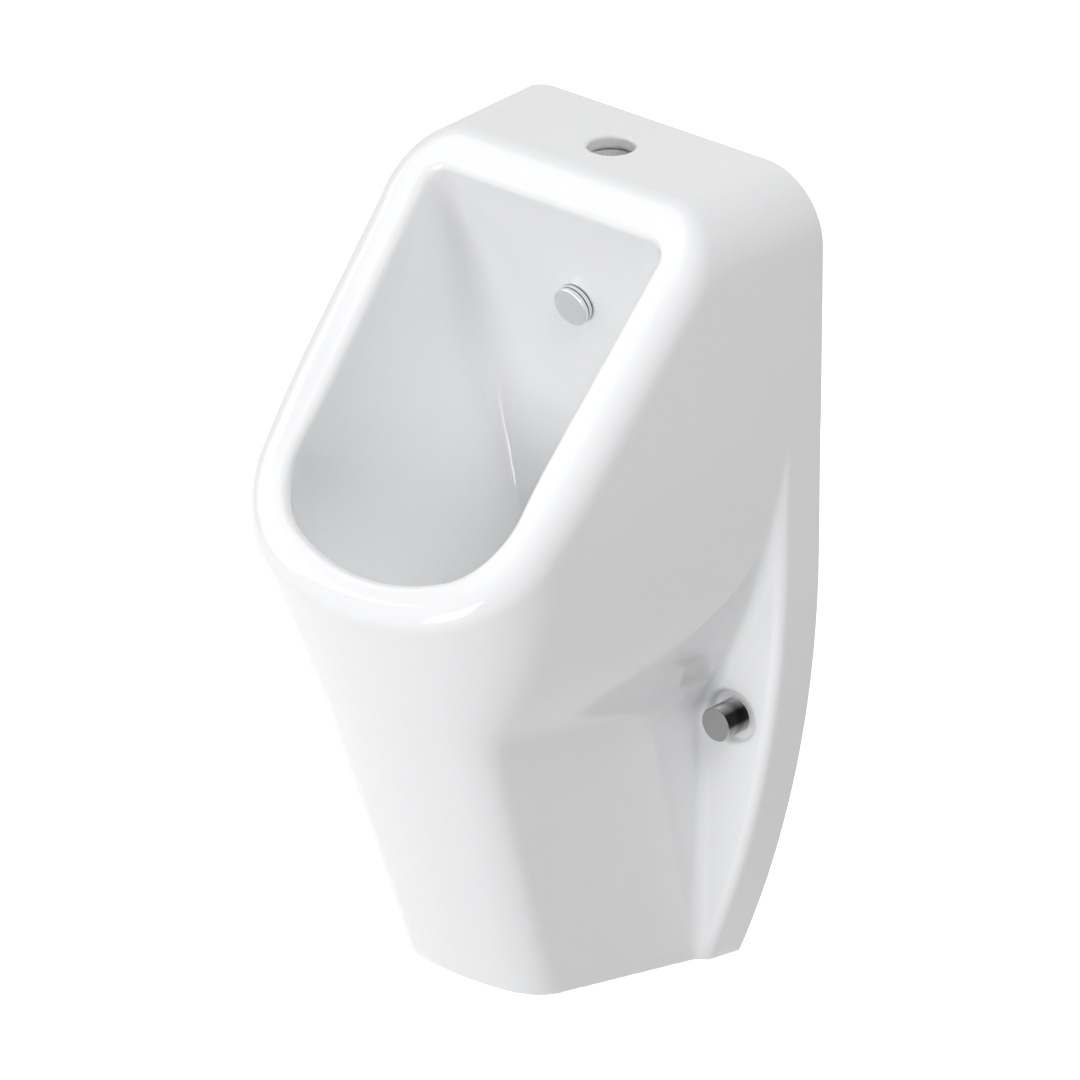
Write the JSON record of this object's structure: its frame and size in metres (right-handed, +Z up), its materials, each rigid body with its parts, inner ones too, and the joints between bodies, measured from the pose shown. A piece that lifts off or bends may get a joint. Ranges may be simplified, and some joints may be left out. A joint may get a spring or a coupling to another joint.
{
  "type": "wall-hung urinal",
  "caption": "Wall-hung glazed ceramic urinal with a sloping oval-front rim, top inlet, spray nozzle, concealed bottle trap and two capped wall fixings.",
  "frame": {"origin": "middle of the bottom edge of the ceramic's back, on the wall plane", "axes": "+X to the right seen from the front, +Y into the wall, +Z up"},
  "size_m": [0.305, 0.3919, 0.64],
  "materials": {
    "sanitary_ceramic": "gloss",
    "chromed_metal": "polished",
    "brass": "satin",
    "stainless_steel": "brushed",
    "zinc_steel": "satin",
    "white_plastic": "matte",
    "grey_plastic": "matte",
    "rubber": "matte"
  },
  "bodies": {
    "urinal": {"ceramic_body": "sanitary_ceramic", "nozzle_seal": "rubber", "nozzle_body": "chromed_metal", "nozzle_face": "chromed_metal", "nozzle_back_washer": "grey_plastic", "nozzle_nut": "brass", "inlet_elbow": "white_plastic", "inlet_sleeve": "white_plastic", "inlet_lip_seal": "rubber", "inlet_union_ring": "rubber", "inlet_union_nut": "white_plastic", "waste_top_seal": "rubber", "waste_flange": "white_plastic", "waste_bottom_seal": "rubber", "waste_nut": "grey_plastic", "trap_body": "white_plastic", "trap_cup": "white_plastic", "trap_cup_seal": "rubber", "trap_inlet_seal": "rubber", "trap_inlet_nut": "white_plastic", "outlet_pipe": "grey_plastic", "outlet_seal": "rubber", "outlet_nut": "white_plastic", "wall_collar": "rubber", "fixing_studs": "zinc_steel", "wall_anchors": "zinc_steel", "fixing_sleeves": "white_plastic", "fixing_washers": "zinc_steel", "fixing_nuts": "zinc_steel"},
    "left_cap": {"fixing_cap_left": "chromed_metal"},
    "right_cap": {"fixing_cap_right": "chromed_metal"},
    "strainer_basket": {"strainer": "stainless_steel"}
  },
  "joints": [
    {"name": "left_cap_pull", "type": "slide", "parent": "urinal", "child": "left_cap", "axis": [0, -1, 0], "range_m": [0, 0.03]},
    {"name": "right_cap_pull", "type": "slide", "parent": "urinal", "child": "right_cap", "axis": [0, -1, 0], "range_m": [0, 0.03]},
    {"name": "strainer_lift", "type": "slide", "parent": "urinal", "child": "strainer_basket", "axis": [0, 0, 1], "range_m": [0, 0.045]}
  ]
}
